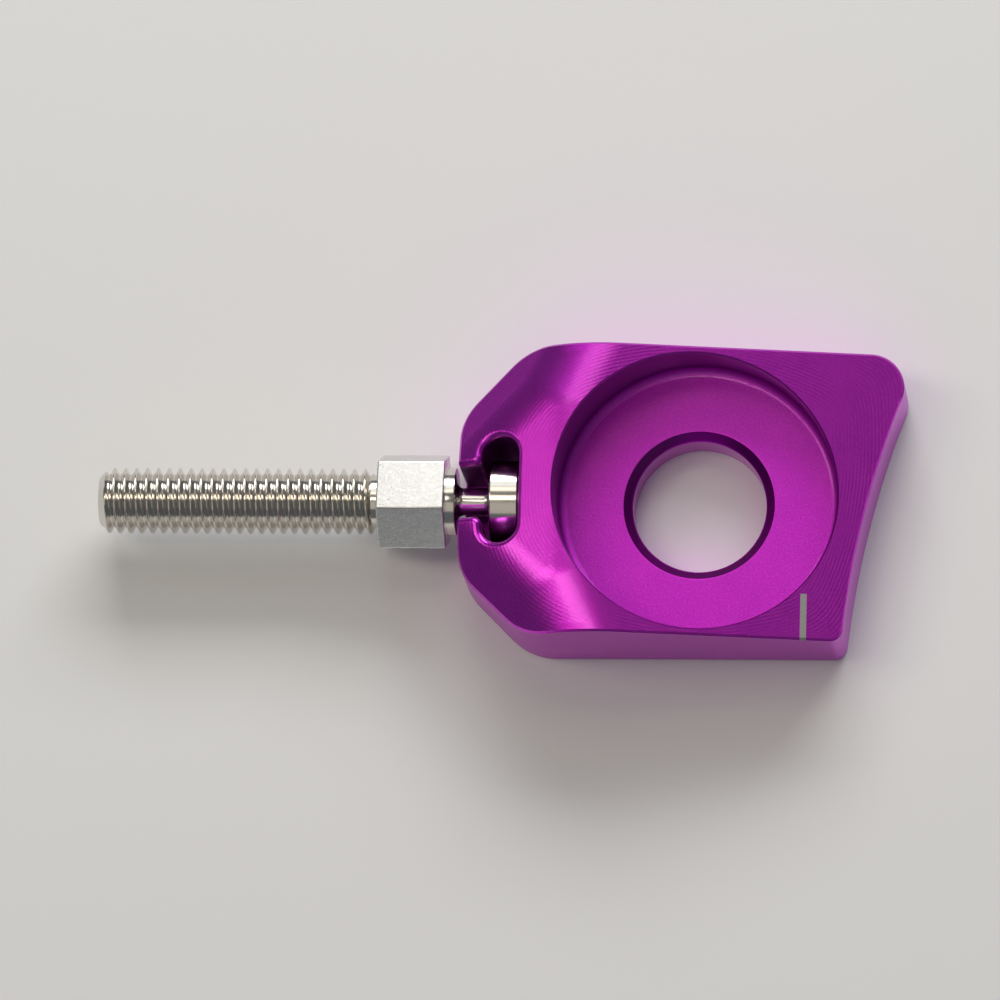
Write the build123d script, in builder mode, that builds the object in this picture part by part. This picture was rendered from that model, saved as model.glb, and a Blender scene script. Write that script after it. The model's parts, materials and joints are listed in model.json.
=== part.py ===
from build123d import *

import os
from math import cos, radians, sin, sqrt, tan

# Motorcycle chain adjuster: a milled axle block with a captive adjuster stud.
# Millimetres. The origin lies on the axle's axis in the plane of the block's back face.
# +Z points out of the block's front face and X runs along the stud, with the nose and the thread at -X.

os.makedirs("parts", exist_ok=True)

# Axle block, outline seen from the front
block_width = 26.9  # between the two long sides
nose_reach = 21.6  # axle axis to the nose end
corner_length = 6.25  # leg of each 45 degree nose corner
shoulder_radius = 5.5  # long side into corner
nose_radius = 5.0  # corner into nose end
tail_reach_top = 20.0  # axle axis to the upper tail corner, before rounding
tail_reach_bottom = 13.4  # axle axis to the lower tail corner, before rounding
tail_hollow_radius = 90.0  # hollow sweep of the tail edge
tail_radius_top = 3.0
tail_radius_bottom = 1.2

# Axle block, front form
face_height = 10.2  # back face to front face on the axle axis
face_slope = 10.0  # front face falls to the tail, degrees
crest_setback = 10.2  # nose end back to the crest between front face and nose
nose_slope = 14.5  # nose falls away from the crest, degrees
fold_setback = 3.76  # corner wall back to the fold of each corner facet
fold_slope = 25.0  # corner facet folds down from the nose, degrees
ridge_radius = 9.0  # rounding of the crest and the folds
front_edge_break = 0.2
back_edge_break = 0.3

# Axle seat
axle_diameter = 12.0
axle_clearance = 0.1  # radial
bore_chamfer_front = 0.8
bore_chamfer_back = 0.3
recess_diameter = 25.6  # room for the axle nut and its socket
recess_floor = 4.4  # above the back face
recess_corner_radius = 0.8
rim_break = 0.15

# Adjuster stud
thread_diameter = 6.0
thread_length = 25.0
thread_tip_chamfer = 0.8
relief_diameter = 4.9
relief_length = 0.65
hex_across_flats = 8.0
hex_length = 6.15
hex_turn = 9.6  # one flat looks to the front, turned this far to +Y, degrees
hex_edge_break = 0.12
collar_diameter = 6.2
collar_length = 0.9
neck_diameter = 2.5
neck_fillet = 0.6
head_diameter = 7.5
head_thickness = 2.7
head_edge_break = 0.2
stud_height = 5.2  # stud axis above the back face

# Seat of the stud's head in the block
head_floor_gap = 0.1  # under the head
head_jaw_gap = 0.5  # between head and jaws
head_back_gap = 0.2  # between head and the slot's inner wall
head_side_gap = 1.15  # sideways room at each side of head and neck
jaw_thickness = 2.25  # nose end to slot
collar_gap = 0.38  # nose end to collar
jaw_tip_radius = 0.7
slot_edge_radius = 0.5
tip_share = 0.88  # the most of a jaw's land that its tip rounding takes
edge_share = 0.72  # the most of a jaw tip's radius that the slot's edge rounding takes
break_share = 0.5  # the most of the slot's edge rounding that the outline's edge break takes

TOUCH = 0.01  # reach of the edge selections
FACING = 0.5  # least Z of a front face's normal

# Derived sizes
half_width = block_width / 2
bore_diameter = axle_diameter + 2 * axle_clearance
crest_reach = nose_reach - crest_setback
crest_height = face_height + crest_reach * tan(radians(face_slope))
slot_width = head_thickness + head_jaw_gap + head_back_gap
slot_length = head_diameter + 2 * head_side_gap
slot_floor = stud_height - head_diameter / 2 - head_floor_gap
jaw_face_x = -nose_reach + jaw_thickness
slot_center_x = jaw_face_x + slot_width / 2
mouth_width = neck_diameter + 2 * head_side_gap
jaw_land = (slot_length - slot_width - mouth_width) / 2
tip_radius = min(jaw_tip_radius, tip_share * jaw_land)
edge_radius = min(slot_edge_radius, edge_share * tip_radius)
outline_break = min(front_edge_break, break_share * edge_radius)
stock_margin = 12.0  # stock left round the outline until it is cut to shape
stock_length = 2 * (nose_reach + stock_margin)
stock_width = block_width + 2 * stock_margin
stock_height = 2 * crest_height

# Planes of the front form
face_plane = Plane(
    origin=(0, 0, face_height),
    x_dir=(0, 1, 0),
    z_dir=(sin(radians(face_slope)), 0, cos(radians(face_slope))),
)
nose_normal = Vector(-sin(radians(nose_slope)), 0, cos(radians(nose_slope)))
nose_plane = Plane(origin=(-crest_reach, 0, crest_height), x_dir=(0, 1, 0), z_dir=nose_normal)


def corner_facet(side):
    """Plane of a corner facet: the nose plane folded down about a 45 degree line, side +1 or -1."""
    corner_reach = (nose_reach + half_width - corner_length) / sqrt(2)
    fold_x = -(corner_reach - fold_setback) / sqrt(2)
    fold_z = crest_height + (fold_x + crest_reach) * tan(radians(nose_slope))
    fold_line = Vector(1, side, tan(radians(nose_slope)))
    fold_axis = Axis((0, 0, 0), fold_line)
    normal = nose_normal.rotate(fold_axis, -side * fold_slope)
    return Plane(origin=(fold_x, -side * fold_x, fold_z), x_dir=fold_line, z_dir=normal)


def front_edges(block):
    """Edges where the front surface meets a wall, round the outline, the recess and the slot."""
    floors = recess_floor + recess_corner_radius
    front = [face for face in block.faces() if face.normal_at().Z > FACING and face.center().Z > floors]
    counts = [(edge, sum(edge in face.edges() for face in front)) for edge in block.edges()]
    return ShapeList(edge for edge, count in counts if count == 1)


def at_rim(edge):
    return abs(Vector(edge.position_at(0.5).X, edge.position_at(0.5).Y).length - recess_diameter / 2) < TOUCH


def at_slot(edge):
    middle = edge.position_at(0.5)
    behind_nose = middle.X > -nose_reach + TOUCH
    return behind_nose and middle.X < jaw_face_x + slot_width + TOUCH and abs(middle.Y) < slot_length / 2 + TOUCH


def at_outline(edge):
    middle = edge.position_at(0.5)
    return Vector(middle.X, middle.Y).length > recess_diameter / 2 + 2 * rim_break


with BuildPart() as axle_block:
    # Stock, cut to the four planes of the front, with every ridge between them rolled over
    with BuildSketch():
        Rectangle(stock_length, stock_width)
    extrude(amount=stock_height)
    for front_plane in (face_plane, nose_plane, corner_facet(1), corner_facet(-1)):
        split(bisect_by=front_plane, keep=Keep.BOTTOM)
    front_faces = axle_block.faces().filter_by(lambda face: face.normal_at().Z > FACING)
    ridges = [
        edge
        for edge in axle_block.edges()
        if sum(edge in face.edges() for face in front_faces) == 2
    ]
    fillet(ridges, radius=ridge_radius)

    # Outline
    with BuildSketch() as outline:
        with BuildLine():
            Polyline(
                (tail_reach_top, half_width),
                (corner_length - nose_reach, half_width),
                (-nose_reach, half_width - corner_length),
                (-nose_reach, corner_length - half_width),
                (corner_length - nose_reach, -half_width),
                (tail_reach_bottom, -half_width),
            )
            RadiusArc((tail_reach_bottom, -half_width), (tail_reach_top, half_width), tail_hollow_radius)
        make_face()
        fillet(outline.vertices().group_by(Axis.X)[-1], radius=tail_radius_top)
        fillet(outline.vertices().group_by(Axis.X)[2], radius=tail_radius_bottom)
        fillet(outline.vertices().group_by(Axis.X)[1], radius=shoulder_radius)
        fillet(outline.vertices().group_by(Axis.X)[0], radius=nose_radius)
    extrude(amount=stock_height, mode=Mode.INTERSECT)
    back_edges = axle_block.faces().sort_by(Axis.Z)[0].edges()
    chamfer(back_edges, length=back_edge_break)

    # Bore and nut recess, turned as one profile about the axle's axis
    with BuildSketch(Plane.XZ) as seat_profile:
        with BuildLine():
            Polyline(
                (0, 0),
                (bore_diameter / 2 + bore_chamfer_back, 0),
                (bore_diameter / 2, bore_chamfer_back),
                (bore_diameter / 2, recess_floor - bore_chamfer_front),
                (bore_diameter / 2 + bore_chamfer_front, recess_floor),
                (recess_diameter / 2, recess_floor),
                (recess_diameter / 2, stock_height),
                (0, stock_height),
                close=True,
            )
        make_face()
        recess_corner = seat_profile.vertices().group_by(Axis.X)[-1].sort_by(Axis.Y)[0]
        fillet(recess_corner, radius=recess_corner_radius)
    revolve(axis=Axis.Z, mode=Mode.SUBTRACT)

    # T-slot that takes the stud's head from the front, with its mouth at the nose end
    with BuildSketch(Plane.XY.offset(slot_floor)) as slot:
        with Locations((slot_center_x, 0)):
            SlotOverall(slot_length, slot_width, rotation=90)
        with Locations((-nose_reach, 0)):
            Rectangle(2 * jaw_thickness + slot_width, mouth_width)
        jaw_tips = slot.vertices().filter_by(
            lambda corner: abs(corner.X - jaw_face_x) < TOUCH and abs(corner.Y) < mouth_width / 2 + TOUCH
        )
        fillet(jaw_tips, radius=tip_radius)
    extrude(amount=stock_height, mode=Mode.SUBTRACT)

    # Edges of the front: slot rounded, recess rim and outline broken
    fillet(front_edges(axle_block).filter_by(at_slot), radius=edge_radius)
    chamfer(front_edges(axle_block).filter_by(at_rim), length=rim_break)
    chamfer(front_edges(axle_block).filter_by(at_outline), length=outline_break)

axle_block.part.label = "axle_block"
export_step(axle_block.part, "parts/axle_block.step")


stud_plane = Plane(origin=(0, 0, stud_height), x_dir=(1, 0, 0), z_dir=(0, -1, 0))
stud_axis = Axis((0, 0, stud_height), (1, 0, 0))
head_start = jaw_face_x + head_jaw_gap
head_end = head_start + head_thickness
collar_end = -nose_reach - collar_gap
hex_end = collar_end - collar_length
hex_start = hex_end - hex_length
thread_end = hex_start - relief_length
thread_start = thread_end - thread_length

with BuildPart() as adjuster_stud:
    # Turned form, from the thread's tip to the captive head
    with BuildSketch(stud_plane) as turned_profile:
        with BuildLine():
            Polyline(
                (thread_start, 0),
                (thread_start, thread_diameter / 2 - thread_tip_chamfer),
                (thread_start + thread_tip_chamfer, thread_diameter / 2),
                (thread_end, thread_diameter / 2),
                (thread_end, relief_diameter / 2),
                (hex_start, relief_diameter / 2),
                (hex_start, collar_diameter / 2),
                (collar_end, collar_diameter / 2),
                (collar_end, neck_diameter / 2),
                (head_start, neck_diameter / 2),
                (head_start, head_diameter / 2),
                (head_end, head_diameter / 2),
                (head_end, 0),
                close=True,
            )
        make_face()
        neck_corners = turned_profile.vertices().filter_by(
            lambda corner: abs(corner.Y - neck_diameter / 2) < TOUCH
        )
        fillet(neck_corners, radius=neck_fillet)
        head_corners = turned_profile.vertices().filter_by(
            lambda corner: abs(corner.Y - head_diameter / 2) < TOUCH
        )
        chamfer(head_corners, length=head_edge_break)
    revolve(axis=stud_axis)

    # Hex for the spanner
    with BuildSketch(Plane.YZ.offset(hex_start)):
        with Locations((0, stud_height)):
            RegularPolygon(hex_across_flats / 2, 6, major_radius=False, rotation=-hex_turn)
    extrude(amount=hex_length)
    hex_ends = adjuster_stud.edges().filter_by(GeomType.LINE).filter_by(
        lambda edge: min(abs(edge.center().X - hex_start), abs(edge.center().X - hex_end)) < TOUCH
    )
    chamfer(hex_ends, length=hex_edge_break)

adjuster_stud.part.label = "adjuster_stud"
export_step(adjuster_stud.part, "parts/adjuster_stud.step")
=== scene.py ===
import json
from math import cos, pi, radians, sin, sqrt, tan

import bpy
from mathutils import Matrix, Vector


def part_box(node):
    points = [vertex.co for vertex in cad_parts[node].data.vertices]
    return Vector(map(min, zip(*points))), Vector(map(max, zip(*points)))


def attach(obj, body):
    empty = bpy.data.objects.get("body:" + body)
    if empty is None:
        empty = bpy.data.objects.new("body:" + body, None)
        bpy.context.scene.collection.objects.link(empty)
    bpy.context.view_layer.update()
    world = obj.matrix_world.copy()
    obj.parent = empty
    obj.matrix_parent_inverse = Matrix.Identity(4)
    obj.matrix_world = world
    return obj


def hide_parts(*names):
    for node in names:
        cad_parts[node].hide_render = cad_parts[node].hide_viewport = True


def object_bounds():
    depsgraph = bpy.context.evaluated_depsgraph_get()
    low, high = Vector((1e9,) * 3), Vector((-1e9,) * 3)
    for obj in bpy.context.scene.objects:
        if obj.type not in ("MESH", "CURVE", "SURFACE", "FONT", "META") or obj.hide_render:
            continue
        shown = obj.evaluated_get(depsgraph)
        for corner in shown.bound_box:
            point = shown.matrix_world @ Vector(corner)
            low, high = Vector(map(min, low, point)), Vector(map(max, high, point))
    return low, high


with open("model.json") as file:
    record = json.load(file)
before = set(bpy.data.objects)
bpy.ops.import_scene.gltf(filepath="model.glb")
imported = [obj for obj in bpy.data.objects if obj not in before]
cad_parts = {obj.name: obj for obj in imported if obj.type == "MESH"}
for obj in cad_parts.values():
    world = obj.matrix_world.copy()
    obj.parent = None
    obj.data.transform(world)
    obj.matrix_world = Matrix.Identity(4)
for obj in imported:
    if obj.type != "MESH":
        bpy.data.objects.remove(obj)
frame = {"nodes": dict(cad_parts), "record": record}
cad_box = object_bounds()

# The chain adjuster's axle block is a CAD node with a finish of its own.
# The stud is modelled here, with its rolled thread, in place of the plain CAD stud.
MM = 0.001

# Sizes of the stud, in millimetres, along X from the thread's tip to the captive head
mounts = {mount["name"]: mount for mount in frame["record"]["mounts"]}
thread_mount = mounts["adjuster_thread"]
stud_low, stud_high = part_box("adjuster_stud")
STUD_HEIGHT = thread_mount["pos_m"][2] / MM
THREAD_RADIUS = thread_mount["dims"]["r_mm"]
THREAD_MIDDLE = thread_mount["pos_m"][0] / MM
THREAD_START = stud_low.x / MM
THREAD_END = THREAD_MIDDLE + thread_mount["dims"]["length_mm"] / 2
HEAD_END = stud_high.x / MM
THREAD_PITCH = 1.0
THREAD_DEPTH = 0.6134
THREAD_ROOT_ROUND = 0.1443
THREAD_TIP_CHAMFER = 0.8
RELIEF_RADIUS = 2.45
RELIEF_LENGTH = 0.65
HEX_FLATS = 8.0
HEX_LENGTH = 6.15
HEX_TURN = 9.6
HEX_EDGE = 0.14
COLLAR_RADIUS = 3.1
COLLAR_LENGTH = 0.9
COLLAR_EDGE = 0.12
NECK_RADIUS = 1.25
NECK_FILLET = 0.6
HEAD_RADIUS = 3.75
HEAD_THICKNESS = 2.7
HEAD_EDGE = 0.2

HEX_START = THREAD_END + RELIEF_LENGTH
HEX_END = HEX_START + HEX_LENGTH
COLLAR_END = HEX_END + COLLAR_LENGTH
HEAD_START = HEAD_END - HEAD_THICKNESS

# The thread's crest, whose two edges are at these shares of the pitch and this far below the outer radius
CREST_FOOT = 0.425
CREST_FOOT_DROP = 0.03
CREST_EDGE = 0.458
CREST_EDGE_DROP = 0.005

# The core that the turned body runs on inside the thread and the hex, in millimetres
CORE_RADIUS = 1.6
CORE_LENGTH = 0.6
THREAD_LAP = 0.03
HEX_LAP = 1.0
COLLAR_LAP = 0.5
COLLAR_LAP_STEP = 0.2

# How finely the stud is meshed: sides and steps, merging and cutting distances in millimetres
STUD_SIDES = 96
THREAD_STEPS = 48
SPARE_TURNS = 3
COLLAR_STEPS = 3
NECK_STEPS = 8
HEAD_STEPS = 4
HEX_EDGE_STEPS = 3
MERGE_DISTANCE = 0.0005
CUT_DISTANCE = 0.0001
SHARP_ANGLE = 28

# Sizes of the axle block that its finish follows, in millimetres and degrees
HALF_WIDTH = 13.45
NOSE_REACH = 21.6
CORNER_LENGTH = 6.25
CORNER_ROUND = 4.0
CORNER_REACH = NOSE_REACH + HALF_WIDTH - CORNER_LENGTH
TAIL_CENTRE = (103.07, -21.19)
TAIL_RADIUS = 90.0
RECESS_RADIUS = 12.8
RECESS_FLOOR = 4.4
BORE_RIM_RADIUS = 6.9
BORE_RIM_DEPTH = 0.7
FACE_HEIGHT = 10.2
FACE_SLOPE = 10.0
CREST_REACH = 11.4
NOSE_SLOPE = 14.5
FOLD_SETBACK = 3.76
FOLD_SLOPE = 25.0
PASS_WIDTH = 0.30
SLOT_INNER_X = -15.95
SLOT_HALF_LENGTH = 4.9
MARK_X = 9.95
MARK_WIDTH = 0.56
MARK_TOP_Y = -9.2

# Where one zone of the block's finish runs into the next: from none of it to all of it, in millimetres
RECESS_SIDE = (0.05, 0.0)
SEAT_TOP = (RECESS_FLOOR + 0.6, RECESS_FLOOR + 0.1)
SEAT_INSIDE = (BORE_RIM_RADIUS, BORE_RIM_RADIUS + 0.1)
# Painted shade on the recess wall and the bore's rim: where it starts and stops
SHADED_WALL_FOOT = (RECESS_FLOOR + 0.2, RECESS_FLOOR + 0.9)
SHADED_WALL_TOP = (0.05, 0.2)
RIM_OUTSIDE = (BORE_RIM_RADIUS + 0.05, BORE_RIM_RADIUS - 0.05)
RIM_FOOT = (RECESS_FLOOR - BORE_RIM_DEPTH - 0.05, RECESS_FLOOR - BORE_RIM_DEPTH + 0.05)
WALL_TOP = (0.25, 0.45)
WALL_INSIDE = (0.9, 0.7)
FRONT_BOTTOM = (0.9, 0.6)
# The slot's bounds: deep in it, shade is painted into the colour and the roughness is raised
SLOT_ENDS = (SLOT_HALF_LENGTH + 0.3, SLOT_HALF_LENGTH + 0.1)
SLOT_INSIDE = (SLOT_INNER_X + 0.3, SLOT_INNER_X + 0.1)
SLOT_MOUTH = (0.02 - NOSE_REACH, 0.12 - NOSE_REACH)
SLOT_DEPTH = (0.6, 2.2)
MARK_SIDES = (MARK_WIDTH / 2 + 0.03, MARK_WIDTH / 2 - 0.03)
MARK_TOP = (MARK_TOP_Y + 0.03, MARK_TOP_Y - 0.03)
MARK_BOTTOM = (0.36, 0.26)

# Purple dye from its lightest to its darkest, the painted shade of the recess wall and bore's rim and of
# the slot, and the grey of the etched index line
DYE_SPECK = (0.78, 0.060, 0.74, 1.0)
DYE_LIGHT = (0.66, 0.032, 0.67, 1.0)
DYE_DARK = (0.54, 0.020, 0.58, 1.0)
DYE_GRAIN = (0.40, 0.012, 0.42, 1.0)
DYE_GROOVE = (0.38, 0.012, 0.45, 1.0)
RECESS_PAINTED_SHADE = (0.20, 0.005, 0.22, 1.0)
SLOT_PAINTED_SHADE = (0.12, 0.003, 0.14, 1.0)
ETCH_DARK = (0.24, 0.23, 0.22, 1.0)
ETCH_LIGHT = (0.42, 0.41, 0.39, 1.0)

# Steel as it is turned, as it is drawn, and in the pits of the drawn skin
TURNED_DARK = (0.66, 0.63, 0.58, 1.0)
TURNED_LIGHT = (0.79, 0.76, 0.71, 1.0)
DRAWN_DARK = (0.68, 0.68, 0.67, 1.0)
DRAWN_LIGHT = (0.88, 0.88, 0.87, 1.0)
PIT_DARK = (0.30, 0.30, 0.29, 1.0)

# Where the hex's drawn skin begins, and how its pits grow from fewest near the collar to most at the
# thread end, in millimetres
HEX_SKIN_BLUR = 0.01
HEX_SKIN_RADIUS = (3.3, 3.5)
HEX_PIT_FADE = (HEX_END - 1.0, HEX_START)
HEX_PITS_LEAST = 0.35

# Height of the fine relief on each finish, in metres
BLOCK_RELIEF = 8e-6
STUD_RELIEF = 4e-6

# Floor, room, lamps and camera, in metres
FLOOR_RADIUS = 3.0
FLOOR_SIDES = 64
FLOOR_DROP = 0.00002
FLOOR_GREY = (0.93, 0.93, 0.93, 1.0)
ROOM_COLOUR = (0.85, 0.92, 1.0, 1.0)
ROOM_STRENGTH = 0.14
CREAM = (1.0, 0.89, 0.74)
WHITE = (1.0, 1.0, 1.0)
VIEWPOINT = Vector((74.4, -231.4, 947.7)) * MM
PICTURE_UP = Vector((-0.0054, 0.9741, 0.2260))
PICTURE_MARGIN = 1.24
SENSOR_WIDTH = 36.0


class Field:
    """A value, vector or colour that varies over a surface: a node's output in a Python expression."""

    def __init__(self, tree, output):
        self.tree = tree
        self.output = output

    def node(self, kind, settings=None, inputs=None, output=0):
        """Adds a node to the same tree: its settings are set first, then its sockets."""
        made = self.tree.nodes.new(kind)
        for key, value in (settings or {}).items():
            setattr(made, key, value)
        for key, value in (inputs or {}).items():
            if isinstance(value, Field):
                self.tree.links.new(value.output, made.inputs[key])
            else:
                made.inputs[key].default_value = value
        return Field(self.tree, made.outputs[output])

    def math(self, operation, *values):
        return self.node("ShaderNodeMath", {"operation": operation}, dict(enumerate(values)))

    def __add__(self, other):
        return self.math("ADD", self, other)

    def __radd__(self, other):
        return self.math("ADD", other, self)

    def __sub__(self, other):
        return self.math("SUBTRACT", self, other)

    def __rsub__(self, other):
        return self.math("SUBTRACT", other, self)

    def __mul__(self, other):
        return self.math("MULTIPLY", self, other)

    def __rmul__(self, other):
        return self.math("MULTIPLY", other, self)

    def __truediv__(self, other):
        return self.math("DIVIDE", self, other)

    def __abs__(self):
        return self.math("ABSOLUTE", self)

    def root(self):
        return self.math("SQRT", self)

    def sine(self):
        return self.math("SINE", self)

    def least(self, other, rounding=0.0):
        """The smaller of two values, with the corner between them rounded off."""
        return self.math("SMOOTH_MIN", self, other, rounding)

    def rise(self, low, high):
        """0 below low and 1 above high, with a smooth step between; low above high turns it round."""
        if low > high:
            return 1 - self.rise(high, low)
        settings = {"interpolation_type": "SMOOTHSTEP"}
        inputs = {"Value": self, "From Min": low, "From Max": high}
        return self.node("ShaderNodeMapRange", settings, inputs)

    def noise(self, scale, detail=2.0, roughness=0.5):
        inputs = {"Vector": self, "Scale": scale, "Detail": detail, "Roughness": roughness}
        return self.node("ShaderNodeTexNoise", None, inputs)

    def stretched(self, x, y, z):
        inputs = {0: self, 1: (x, y, z)}
        return self.node("ShaderNodeVectorMath", {"operation": "MULTIPLY"}, inputs)

    def bump(self, height):
        """The surface direction of this relief, its full height in metres."""
        inputs = {"Strength": 1.0, "Distance": height, "Height": self}
        return self.node("ShaderNodeBump", None, inputs)

    def blend(self, first, second):
        """The first colour where this is 0 and the second where it is 1."""
        settings = {"data_type": "RGBA"}
        inputs = {"Factor": self, 6: first, 7: second}
        return self.node("ShaderNodeMix", settings, inputs, 2)


def new_finish(name):
    """A new material, its surface shader and its surface points in millimetres."""
    material = bpy.data.materials.new(name)
    material.use_nodes = True
    tree = material.node_tree
    shader = tree.nodes["Principled BSDF"]
    points = Field(tree, tree.nodes.new("ShaderNodeTexCoord").outputs["Object"])
    return material, shader, points.stretched(1 / MM, 1 / MM, 1 / MM)


def axes_of(points):
    """The x, y and z of the surface points."""
    split = points.node("ShaderNodeSeparateXYZ", None, {0: points}).output.node
    return [Field(points.tree, split.outputs[axis]) for axis in range(3)]


def feed(shader, **inputs):
    """Links varying fields, or sets constant values, on a shader's sockets."""
    for key, value in inputs.items():
        socket = shader.inputs[key.replace("_", " ")]
        if isinstance(value, Field):
            value.tree.links.new(value.output, socket)
        else:
            socket.default_value = value


def front_height(x, side):
    """Height of the block's front over a point: the lowest of the face, the nose and the corner facets."""
    crest_height = FACE_HEIGHT + CREST_REACH * tan(radians(FACE_SLOPE))
    rise = tan(radians(NOSE_SLOPE))
    face = FACE_HEIGHT - x * tan(radians(FACE_SLOPE))
    nose = crest_height + (x + CREST_REACH) * rise
    fold_x = FOLD_SETBACK / sqrt(2) - CORNER_REACH / 2
    fold_height = crest_height + (fold_x + CREST_REACH) * rise
    normal = Vector((-rise, 0, 1)).normalized()
    normal.rotate(Matrix.Rotation(radians(-FOLD_SLOPE), 3, Vector((1, 1, rise))))
    facet = fold_height - ((x - fold_x) * normal.x + (side + fold_x) * normal.y) / normal.z
    return face.least(nose).least(facet)


def distance_to_edge(x, y, side):
    """How far a point of the block lies inside its outline, whose corners are rounded."""
    tail_x = x - TAIL_CENTRE[0]
    tail_y = y - TAIL_CENTRE[1]
    to_tail = (tail_x * tail_x + tail_y * tail_y).root() - TAIL_RADIUS
    to_corner = (x - side + CORNER_REACH) / sqrt(2)
    to_edge = (HALF_WIDTH - side).least(x + NOSE_REACH, CORNER_ROUND)
    return to_edge.least(to_corner, CORNER_ROUND).least(to_tail, CORNER_ROUND)


def purple_anodise():
    """Purple anodise over milled aluminium.

    The front has fine tool passes, the recess floor a blasted grain, and the outer walls streaks and a
    thinner seal. The recess wall and the bore's rim are darkened as painted shade, and the slot most of
    all.
    A grey index line is etched at the tail.
    """
    material, shader, points = new_finish("purple_anodise")
    x, y, z = axes_of(points)
    side = abs(y)
    radius = (x * x + y * y).root()
    depth = front_height(x, side) - z
    to_edge = distance_to_edge(x, y, side)
    from_rim = radius - RECESS_RADIUS

    # The zones of the finish, each 1 inside and 0 outside
    recess = from_rim.rise(*RECESS_SIDE)
    seat = recess * z.rise(*SEAT_TOP) * radius.rise(*SEAT_INSIDE)
    # Painted shade: the recess wall and the bore's rim, darkened in the colour below
    shaded_recess_wall = recess * z.rise(*SHADED_WALL_FOOT) * depth.rise(*SHADED_WALL_TOP)
    rim = radius.rise(*RIM_OUTSIDE) * z.rise(*RIM_FOOT)
    wall = depth.rise(*WALL_TOP) * to_edge.rise(*WALL_INSIDE)
    front = (1 - recess) * (1 - wall) * depth.rise(*FRONT_BOTTOM)
    # The slot's deep part, where shade is painted darker
    slot = side.rise(*SLOT_ENDS) * x.rise(*SLOT_INSIDE)
    slot = slot * x.rise(*SLOT_MOUTH) * depth.rise(*SLOT_DEPTH)
    mark = abs(x - MARK_X).rise(*MARK_SIDES) * y.rise(*MARK_TOP) * depth.rise(*MARK_BOTTOM)

    # Patterns over the surface, their scales in waves per millimetre
    speck = points.noise(scale=5.0, detail=3.0, roughness=0.6)
    grain = points.noise(scale=12.0, roughness=0.6)
    cloud = points.noise(scale=0.30)
    wander = points.noise(scale=0.8)
    patch = points.noise(scale=0.22, detail=1.0).rise(0.30, 0.60)
    streaks = points.stretched(1.0, 1.0, 0.06).noise(scale=4.0, detail=3.0, roughness=0.6)
    passes = ((from_rim - to_edge) * (pi / PASS_WIDTH) + wander * 1.6).sine()
    passes = passes * front * (0.35 + patch * 0.65)

    # Relief, in shares of its full height: the blasted seat is the coarsest
    relief = speck * (0.7 + seat * 1.8)
    relief = relief + grain * (0.5 + seat * 0.8)
    relief = relief + passes * 0.27
    relief = relief + streaks * wall * 0.8

    # Each share says how far the dye, or the painted shade, turns the colour to the next one
    dyed = cloud.blend(DYE_DARK, DYE_LIGHT)
    dyed = (speck.rise(0.40, 0.75) * (0.30 + seat * 0.30)).blend(dyed, DYE_SPECK)
    dyed = (grain.rise(0.55, 0.35) * seat * 0.5).blend(dyed, DYE_GRAIN)
    dyed = (passes.rise(-0.2, -1.0) * 0.32).blend(dyed, DYE_GROOVE)
    # Painted shade darkens the recess wall and the bore's rim
    dyed = (shaded_recess_wall * 0.85 + rim * 0.85).blend(dyed, RECESS_PAINTED_SHADE)
    # Painted shade, darkest deep in the slot
    dyed = (slot * 0.85).blend(dyed, SLOT_PAINTED_SHADE)
    colour = mark.blend(dyed, grain.blend(ETCH_DARK, ETCH_LIGHT))

    # The etched line is the dullest and hardly metallic, then comes the seat
    rough = 0.27 + speck * 0.08 + seat * 0.22 + slot * 0.15 + wall * 0.05 + mark * 0.30
    metal = 1 - mark * 0.75
    coat = 0.45 - wall * 0.27
    feed(shader, Base_Color=colour, Roughness=rough, Metallic=metal, Normal=relief.bump(BLOCK_RELIEF))
    feed(shader, Coat_Weight=coat, Coat_Roughness=0.16, Coat_IOR=1.6)
    return material


def stainless():
    """Bright turned stainless steel with fine tool lines round it, and pitted drawn skin on the hex."""
    material, shader, points = new_finish("bright_stainless")
    x, y, z = axes_of(points)
    off_axis = z - STUD_HEIGHT
    radius = (y * y + off_axis * off_axis).root()

    hex_skin = x.rise(HEX_START - HEX_SKIN_BLUR, HEX_START + HEX_SKIN_BLUR)
    hex_skin = hex_skin * x.rise(HEX_END + HEX_SKIN_BLUR, HEX_END - HEX_SKIN_BLUR)
    hex_skin = hex_skin * radius.rise(*HEX_SKIN_RADIUS)
    lines = points.stretched(14.0, 0.5, 0.5).noise(scale=1.6, detail=3.0)
    mottle = points.stretched(1.0, 1.3, 1.3).noise(scale=2.4, detail=4.0, roughness=0.7)
    pits = points.noise(scale=7.0, roughness=0.6)
    pit_share = HEX_PITS_LEAST + x.rise(*HEX_PIT_FADE) * (1 - HEX_PITS_LEAST)
    pitted = pits.rise(0.50, 0.66) * mottle.rise(0.40, 0.60) * hex_skin * pit_share

    # Relief, in shares of its full height: tool lines, or the drawn skin with its pits sunk in
    relief = lines * (1 - hex_skin) * 0.30
    relief = relief + (mottle * 0.35 + pits * 0.20) * hex_skin
    relief = relief - pitted * 0.30

    turned_steel = lines.blend(TURNED_DARK, TURNED_LIGHT)
    drawn_steel = mottle.rise(0.30, 0.70).blend(DRAWN_DARK, DRAWN_LIGHT)
    drawn_steel = (pitted * 0.8).blend(drawn_steel, PIT_DARK)
    colour = hex_skin.blend(turned_steel, drawn_steel)
    rough = 0.13 + lines * 0.07 + hex_skin * (0.10 + mottle * 0.10)

    feed(shader, Base_Color=colour, Roughness=rough, Metallic=1.0, Normal=relief.bump(STUD_RELIEF))
    return material


def pick(piece):
    """Selects this piece alone and makes it the active one."""
    bpy.ops.object.select_all(action="DESELECT")
    piece.select_set(True)
    bpy.context.view_layer.objects.active = piece


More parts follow.
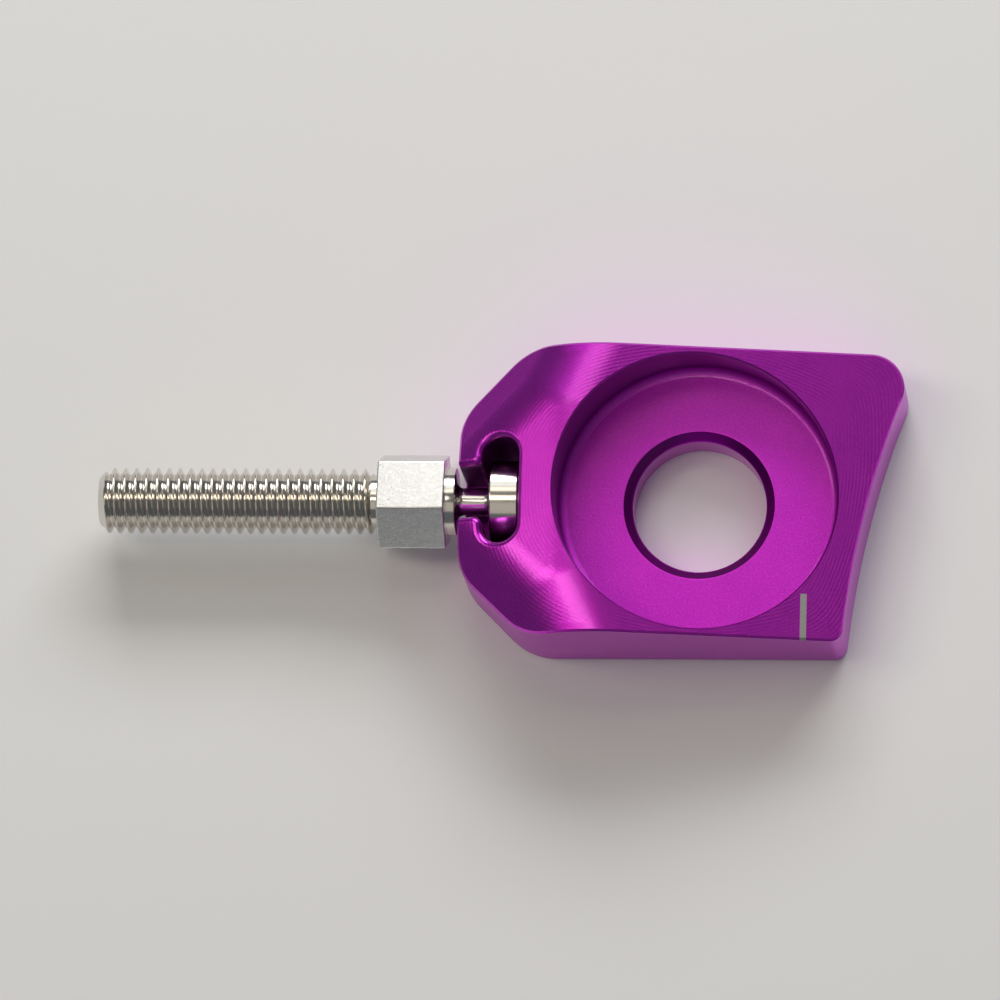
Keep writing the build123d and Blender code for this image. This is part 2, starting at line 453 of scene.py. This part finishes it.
def edit(piece):
    """Opens one piece for editing, with all of it selected."""
    pick(piece)
    bpy.ops.object.mode_set(mode="EDIT")
    bpy.ops.mesh.select_all(action="SELECT")


def close_edit():
    bpy.ops.object.mode_set(mode="OBJECT")


def place_in_mesh(piece):
    """Moves the piece's place into its mesh, so that its object sits at the origin."""
    pick(piece)
    bpy.ops.object.transform_apply(location=True, rotation=True, scale=True)


def apply_modifier(piece, kind, **settings):
    modifier = piece.modifiers.new(kind.title(), kind)
    for key, value in settings.items():
        setattr(modifier, key, value)
    pick(piece)
    bpy.ops.object.modifier_apply(modifier=modifier.name)


def tidy_shell():
    """Merges doubles and turns all faces outwards; called in edit mode."""
    bpy.ops.mesh.select_all(action="SELECT")
    bpy.ops.mesh.remove_doubles(threshold=MERGE_DISTANCE * MM)
    bpy.ops.mesh.normals_make_consistent(inside=False)


def arc(centre_x, centre_radius, size, start, stop, steps):
    """Stations (x, radius) along a round in a turned profile, angles in degrees."""
    angles = [radians(start + (stop - start) * step / steps) for step in range(steps + 1)]
    return [(centre_x + size * cos(angle), centre_radius + size * sin(angle)) for angle in angles]


def turned(name, stations):
    """A turned solid along X: a disc, pulled out ring by ring to each station (x, radius)."""
    bpy.ops.object.select_all(action="DESELECT")
    x, radius = stations[0]
    bpy.ops.mesh.primitive_circle_add(
        vertices=STUD_SIDES,
        radius=radius * MM,
        fill_type="NGON",
        location=(x * MM, 0, 0),
        rotation=(0, radians(90), 0),
    )
    piece = bpy.context.object
    piece.name = name
    place_in_mesh(piece)
    edit(piece)
    for next_x, next_radius in stations[1:]:
        bpy.ops.mesh.extrude_region_move(TRANSFORM_OT_translate={"value": ((next_x - x) * MM, 0, 0)})
        share = next_radius / radius
        bpy.ops.transform.resize(value=(1, share, share), center_override=(next_x * MM, 0, 0))
        x, radius = next_x, next_radius
    tidy_shell()
    close_edit()
    return piece


def stud_body():
    """Core, relief, collar, neck and captive head, turned as one."""
    core_end = THREAD_END - THREAD_LAP
    stations = [(THREAD_END - CORE_LENGTH, CORE_RADIUS), (core_end, CORE_RADIUS)]
    stations += [(core_end, RELIEF_RADIUS), (HEX_START + HEX_LAP, RELIEF_RADIUS)]
    stations += [(HEX_END - HEX_LAP, COLLAR_RADIUS - COLLAR_LAP_STEP)]
    stations += [(HEX_END - COLLAR_LAP, COLLAR_RADIUS)]
    collar_middle = COLLAR_RADIUS - COLLAR_EDGE
    stations += arc(COLLAR_END - COLLAR_EDGE, collar_middle, COLLAR_EDGE, 90, 0, COLLAR_STEPS)
    neck_middle = NECK_RADIUS + NECK_FILLET
    stations += arc(COLLAR_END + NECK_FILLET, neck_middle, NECK_FILLET, 180, 270, NECK_STEPS)
    stations += arc(HEAD_START - NECK_FILLET, neck_middle, NECK_FILLET, 270, 360, NECK_STEPS)
    head_middle = HEAD_RADIUS - HEAD_EDGE
    stations += arc(HEAD_START + HEAD_EDGE, head_middle, HEAD_EDGE, 180, 90, HEAD_STEPS)
    stations += arc(HEAD_END - HEAD_EDGE, head_middle, HEAD_EDGE, 90, 0, HEAD_STEPS)
    return turned("stud", stations)


def stud_hex():
    """The hex, one flat turned to the front, its ends and corners broken."""
    bpy.ops.object.select_all(action="DESELECT")
    bpy.ops.mesh.primitive_cylinder_add(
        vertices=6,
        radius=HEX_FLATS / 2 / cos(radians(30)) * MM,
        depth=HEX_LENGTH * MM,
        location=((HEX_START + HEX_END) / 2 * MM, 0, 0),
        rotation=(0, radians(90), 0),
    )
    piece = bpy.context.object
    piece.name = "stud_hex"
    place_in_mesh(piece)
    flats = [face for face in piece.data.polygons if abs(face.normal.x) < 0.5]
    highest = max(flats, key=lambda face: face.normal.z)
    now = Vector((highest.normal.y, highest.normal.z))
    wanted = Vector((sin(radians(HEX_TURN)), cos(radians(HEX_TURN))))
    piece.data.transform(Matrix.Rotation(-now.angle_signed(wanted), 4, "X"))
    edit(piece)
    bpy.ops.mesh.bevel(
        offset=HEX_EDGE * MM,
        offset_type="OFFSET",
        segments=HEX_EDGE_STEPS,
        affect="EDGES",
    )
    tidy_shell()
    close_edit()
    return piece


def thread_profile():
    """One pitch of the thread as (x, radius): rounded root, flank, narrow crest, flank."""
    root = THREAD_RADIUS - THREAD_DEPTH
    half = [(0.0, root)]
    for angle in (30, 60):
        swing = radians(angle)
        half.append((THREAD_ROOT_ROUND * sin(swing), root + THREAD_ROOT_ROUND * (1 - cos(swing))))
    flank_x, flank_radius = half[-1]
    flank_run = CREST_FOOT * THREAD_PITCH - flank_x
    flank_rise = THREAD_RADIUS - CREST_FOOT_DROP - flank_radius
    for share in (0.35, 0.7, 1.0):
        half.append((flank_x + share * flank_run, flank_radius + share * flank_rise))
    half.append((CREST_EDGE * THREAD_PITCH, THREAD_RADIUS - CREST_EDGE_DROP))
    half.append((THREAD_PITCH / 2, THREAD_RADIUS))
    mirrored = [(THREAD_PITCH - x, radius) for x, radius in half[-2::-1]]
    return half + mirrored


def stud_thread():
    """The rolled thread: one pitch of its profile wound along the axis, cut square, its tip chamfered."""
    profile = thread_profile()
    first = THREAD_START - 2 * THREAD_PITCH
    turns = int((THREAD_END - first) / THREAD_PITCH) + SPARE_TURNS
    bpy.ops.object.select_all(action="DESELECT")
    bpy.ops.mesh.primitive_plane_add(size=MM, location=(0, 0, 0))
    piece = bpy.context.object
    piece.name = "stud_thread"
    edit(piece)
    bpy.ops.mesh.merge(type="CENTER")
    last = (0.0, 0.0)
    for number, (x, radius) in enumerate(profile):
        move = ((first + x) * MM - last[0], 0, radius * MM - last[1])
        if number == 0:
            bpy.ops.transform.translate(value=move)
        else:
            bpy.ops.mesh.extrude_vertices_move(TRANSFORM_OT_translate={"value": move})
        last = ((first + x) * MM, radius * MM)
    close_edit()
    apply_modifier(
        piece,
        "SCREW",
        axis="X",
        angle=2 * pi,
        screw_offset=THREAD_PITCH * MM,
        iterations=turns,
        steps=THREAD_STEPS,
        render_steps=THREAD_STEPS,
        use_merge_vertices=False,
    )
    edit(piece)
    tidy_shell()
    for cut_x, outward in ((THREAD_START, -1), (THREAD_END, 1)):
        bpy.ops.mesh.select_all(action="SELECT")
        bpy.ops.mesh.bisect(
            plane_co=(cut_x * MM, 0, 0),
            plane_no=(outward, 0, 0),
            use_fill=True,
            clear_outer=True,
            threshold=CUT_DISTANCE * MM,
        )
    tidy_shell()
    close_edit()
    tip_radius = THREAD_RADIUS - THREAD_TIP_CHAMFER
    for vertex in piece.data.vertices:
        limit = (tip_radius + vertex.co.x / MM - THREAD_START) * MM
        radius = Vector((vertex.co.y, vertex.co.z)).length
        if radius > limit:
            vertex.co.yz = vertex.co.yz * (limit / radius)
    return piece


def make_stud():
    """The stud as one shell, set at its height in the block."""
    stud = stud_body()
    for part in (stud_hex(), stud_thread()):
        apply_modifier(stud, "BOOLEAN", operation="UNION", object=part, solver="EXACT")
        bpy.data.objects.remove(part)
    edit(stud)
    tidy_shell()
    bpy.ops.transform.translate(value=(0, 0, STUD_HEIGHT * MM))
    close_edit()
    bpy.ops.object.shade_smooth_by_angle(angle=radians(SHARP_ANGLE))
    apply_modifier(stud, "WEIGHTED_NORMAL", keep_sharp=True)
    stud.data.materials.clear()
    stud.data.materials.append(stainless())
    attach(stud, "stud")
    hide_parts("adjuster_stud")


def finish_block():
    """The axle block keeps its CAD shape and takes the anodised finish."""
    block = frame["nodes"]["axle_block"]
    block.data.materials.clear()
    block.data.materials.append(purple_anodise())


def make_floor():
    """A wide, matt, pale floor that takes the soft shadow."""
    bpy.ops.object.select_all(action="DESELECT")
    bpy.ops.mesh.primitive_circle_add(
        vertices=FLOOR_SIDES,
        radius=FLOOR_RADIUS,
        fill_type="NGON",
        location=(0, 0, -FLOOR_DROP),
    )
    floor = bpy.context.object
    floor.name = "floor"
    material = bpy.data.materials.new("pale_floor")
    material.use_nodes = True
    paint = material.node_tree.nodes["Principled BSDF"]
    feed(paint, Base_Color=FLOOR_GREY, Roughness=0.9, Specular_IOR_Level=0.0)
    floor.data.materials.append(material)


def softbox(name, direction, distance, width, height, radiance, colour):
    """A rectangular soft light that looks at the block from this direction, with its own brightness."""
    data = bpy.data.lights.new(name, "AREA")
    data.shape = "RECTANGLE"
    data.size = width
    data.size_y = height
    data.energy = radiance * pi * width * height
    data.color = colour
    light = bpy.data.objects.new(name, data)
    bpy.context.scene.collection.objects.link(light)
    away = Vector(direction).normalized()
    light.location = away * distance
    light.rotation_euler = away.to_track_quat("Z", "Y").to_euler()


def make_light():
    """A window behind the part, lamps over it and its nose and a weak fill, in a dim, cool room."""
    softbox("window", (0.14, 0.83, 0.54), 0.8, 0.75, 0.30, 6.0, WHITE)
    softbox("top_light", (-0.06, 0.61, 0.79), 0.7, 0.32, 0.16, 1.1, WHITE)
    softbox("key", (-0.04, 0.40, 0.92), 0.7, 0.32, 0.14, 1.8, CREAM)
    softbox("nose_key", (-0.58, 0.07, 0.81), 0.7, 0.17, 0.28, 3.3, CREAM)
    softbox("low_key", (-0.21, -0.04, 0.98), 0.7, 0.11, 0.26, 4.0, CREAM)
    softbox("fill", (-0.04, -0.50, 0.86), 0.8, 0.45, 0.45, 0.40, CREAM)
    world = bpy.data.worlds.new("studio_room")
    world.use_nodes = True
    room = world.node_tree.nodes["Background"]
    feed(room, Color=ROOM_COLOUR, Strength=ROOM_STRENGTH)
    bpy.context.scene.world = world


def make_camera():
    """The photograph's viewpoint, aimed at the middle of the part and framed close."""
    middle = (cad_box[0] + cad_box[1]) / 2
    frame_width = PICTURE_MARGIN * (cad_box[1].x - cad_box[0].x)
    ahead = (middle - VIEWPOINT).normalized()
    right = ahead.cross(PICTURE_UP).normalized()
    up = right.cross(ahead)
    turn = Matrix((right, up, -ahead)).transposed()
    data = bpy.data.cameras.new("camera")
    data.sensor_width = SENSOR_WIDTH
    data.lens = SENSOR_WIDTH * (middle - VIEWPOINT).length / frame_width
    camera = bpy.data.objects.new("camera", data)
    camera.matrix_world = Matrix.Translation(VIEWPOINT) @ turn.to_4x4()
    bpy.context.scene.collection.objects.link(camera)
    bpy.context.scene.camera = camera


finish_block()
make_stud()
make_floor()
make_light()
make_camera()
bpy.context.scene.view_settings.view_transform = "Standard"
